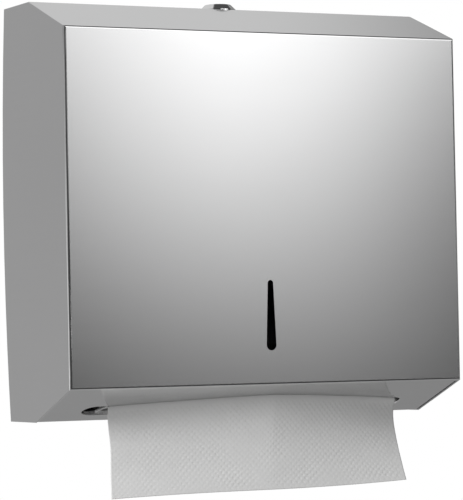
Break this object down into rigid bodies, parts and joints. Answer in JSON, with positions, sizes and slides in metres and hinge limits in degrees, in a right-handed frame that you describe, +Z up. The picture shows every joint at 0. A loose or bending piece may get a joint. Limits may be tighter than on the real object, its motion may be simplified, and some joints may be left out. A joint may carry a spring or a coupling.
{
  "type": "paper towel dispenser",
  "caption": "Wall-mounted polished steel paper towel dispenser with a drop-down cover, cam lock, sight slot and a towel hanging from the slot in its sloping base.",
  "frame": {"origin": "middle of the back plate's wall face, halfway up the cover and halfway across it", "axes": "+X to the right seen from the front, +Y into the wall, +Z up; the front faces -Y"},
  "size_m": [0.2856, 0.1, 0.3195],
  "materials": {
    "polished_steel": "bright polished stainless sheet with a very fine grain",
    "plate_steel": "satin stainless sheet",
    "fastener_steel": "bright drawn steel",
    "nylon": "natural nylon",
    "lock_chrome": "bright chrome plate",
    "zinc_plate": "bright zinc plate",
    "towel_paper": "matte embossed white paper"
  },
  "bodies": {
    "wall_body": {"back_plate": "plate_steel", "base_pan": "polished_steel", "left_cheek": "plate_steel", "right_cheek": "plate_steel", "cheek_rivets": "fastener_steel", "pan_rivets": "fastener_steel", "hinge_pin_left": "fastener_steel", "hinge_pin_right": "fastener_steel", "hinge_washer_left": "nylon", "hinge_washer_right": "nylon", "towel_stack": "towel_paper"},
    "cover": {"cover_shell": "polished_steel", "hinge_lug_left": "plate_steel", "hinge_lug_right": "plate_steel", "lock_body": "lock_chrome", "lock_washer": "zinc_plate", "lock_nut": "zinc_plate"},
    "lock_core": {"lock_plug": "lock_chrome", "lock_cam": "zinc_plate", "cam_washer": "zinc_plate", "cam_screw": "zinc_plate"},
    "towel": {"hanging_towel": "towel_paper"}
  },
  "joints": [
    {"name": "cover_hinge", "type": "hinge", "parent": "wall_body", "child": "cover", "pos_m": [0, -0.007, -0.1285], "axis": [1, 0, 0], "range_deg": [0, 90]},
    {"name": "lock_turn", "type": "hinge", "parent": "cover", "child": "lock_core", "pos_m": [0, -0.032, 0.125], "axis": [0, 0, -1], "range_deg": [0, 90]},
    {"name": "towel_pull", "type": "slide", "parent": "wall_body", "child": "towel", "axis": [0, 0, -1], "range_m": [0, 0.035]}
  ]
}
